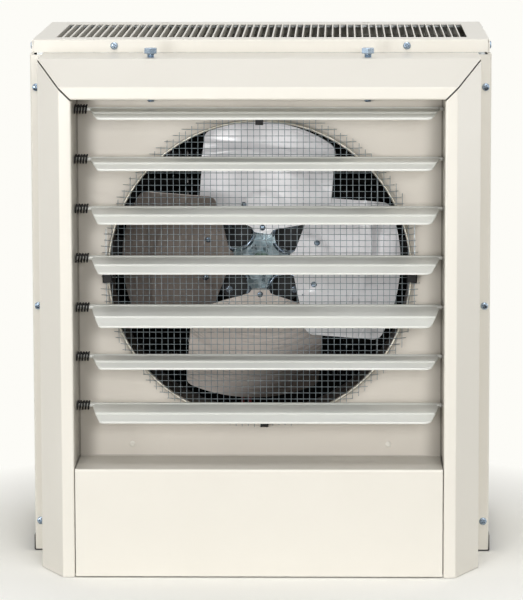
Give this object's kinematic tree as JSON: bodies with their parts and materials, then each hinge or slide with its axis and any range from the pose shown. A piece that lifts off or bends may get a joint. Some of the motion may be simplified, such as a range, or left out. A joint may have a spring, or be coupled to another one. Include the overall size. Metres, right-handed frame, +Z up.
{
  "type": "ceiling mounted fan heater",
  "caption": "Ceiling mounted electric fan heater: steel cabinet with slotted lid, louvred discharge hood, guarded axial fan, motor and finned heating elements.",
  "frame": {"origin": "centre of the part's box at the underside of the base", "axes": "+X to the right seen from the front, the louvred front faces -Y, +Z up"},
  "size_m": [0.4824, 0.3922, 0.542],
  "materials": {
    "painted": "smooth satin powder coat",
    "galvanised": "galvanised, dull",
    "zinc": "bright zinc plate",
    "black_steel": "black, satin",
    "aluminium": "mill finish",
    "core_steel": "laminated, varnished",
    "bearing_steel": "ground",
    "copper_winding": "enamelled copper",
    "lead_sleeve": "red silicone sleeve",
    "element_sheath": "heat darkened steel",
    "phenolic": "moulded",
    "armature": "moulded",
    "coil_tape": "taped winding",
    "relay_case": "moulded",
    "terminal_case": "moulded",
    "brass": "bright"
  },
  "bodies": {
    "cabinet": {"side_panel_left": "painted", "side_panel_right": "painted", "base_panel": "painted", "back_panel": "painted", "front_frame": "painted", "lid": "painted", "hood_top": "painted", "hood_side_left": "painted", "hood_side_right": "painted", "hood_floor": "painted", "front_panel": "painted", "fan_panel": "painted", "panel_rivets": "painted", "venturi_ring": "galvanised", "control_divider": "galvanised", "hanger_rail": "galvanised", "motor_bracket": "galvanised", "element_brackets": "galvanised", "capacitor_strap": "galvanised", "wire_guard": "zinc", "hanging_bolts": "zinc", "hanging_nuts": "zinc", "cabinet_screws": "zinc", "lid_screws": "zinc", "back_screws": "zinc", "bracket_screws": "zinc", "motor_bolts": "zinc", "guard_clips": "black_steel", "louver_springs": "black_steel", "motor_shell": "black_steel", "motor_front_bell": "aluminium", "motor_rear_bell": "aluminium", "run_capacitor": "aluminium", "stator_core": "core_steel", "transformer_core": "core_steel", "motor_bearings": "bearing_steel", "stator_windings": "copper_winding", "motor_leads": "lead_sleeve", "heating_elements": "element_sheath", "element_fins": "element_sheath", "limit_thermostat": "phenolic", "contactor_base": "phenolic", "transformer_coil": "coil_tape", "fan_delay_relay": "relay_case", "terminal_block": "terminal_case", "ground_lug": "brass"},
    "fan": {"fan_blades": "aluminium", "fan_spider": "galvanised", "fan_rivets": "zinc", "fan_boss": "zinc", "motor_rotor": "bearing_steel"},
    "armature": {"contactor_armature": "armature"},
    "louver_1": {"louver_1": "painted"},
    "louver_2": {"louver_2": "painted"},
    "louver_3": {"louver_3": "painted"},
    "louver_4": {"louver_4": "painted"},
    "louver_5": {"louver_5": "painted"},
    "louver_6": {"louver_6": "painted"},
    "louver_7": {"louver_7": "painted"}
  },
  "joints": [
    {"name": "fan_spin", "type": "hinge", "parent": "cabinet", "child": "fan", "pos_m": [0, -0.04805, 0.3075], "axis": [0, -1, 0], "continuous": true},
    {"name": "armature_pull", "type": "slide", "parent": "cabinet", "child": "armature", "axis": [0, 0, -1], "range_m": [0, 0.003], "stiffness_N_per_m": 400, "springref_m": -0.004},
    {"name": "louver_1_tilt", "type": "hinge", "parent": "cabinet", "child": "louver_1", "pos_m": [0, -0.15105, 0.4772], "axis": [1, 0, 0], "range_deg": [-5, 70]},
    {"name": "louver_2_tilt", "type": "hinge", "parent": "cabinet", "child": "louver_2", "pos_m": [0, -0.15105, 0.4262], "axis": [1, 0, 0], "range_deg": [-6, 69]},
    {"name": "louver_3_tilt", "type": "hinge", "parent": "cabinet", "child": "louver_3", "pos_m": [0, -0.15105, 0.3752], "axis": [1, 0, 0], "range_deg": [-11, 64]},
    {"name": "louver_4_tilt", "type": "hinge", "parent": "cabinet", "child": "louver_4", "pos_m": [0, -0.15105, 0.3242], "axis": [1, 0, 0], "range_deg": [-11, 64]},
    {"name": "louver_5_tilt", "type": "hinge", "parent": "cabinet", "child": "louver_5", "pos_m": [0, -0.15105, 0.2732], "axis": [1, 0, 0], "range_deg": [-16.5, 58.5]},
    {"name": "louver_6_tilt", "type": "hinge", "parent": "cabinet", "child": "louver_6", "pos_m": [0, -0.15105, 0.2222], "axis": [1, 0, 0], "range_deg": [-5, 70]},
    {"name": "louver_7_tilt", "type": "hinge", "parent": "cabinet", "child": "louver_7", "pos_m": [0, -0.15105, 0.1712], "axis": [1, 0, 0], "range_deg": [-11.5, 63.5]}
  ]
}
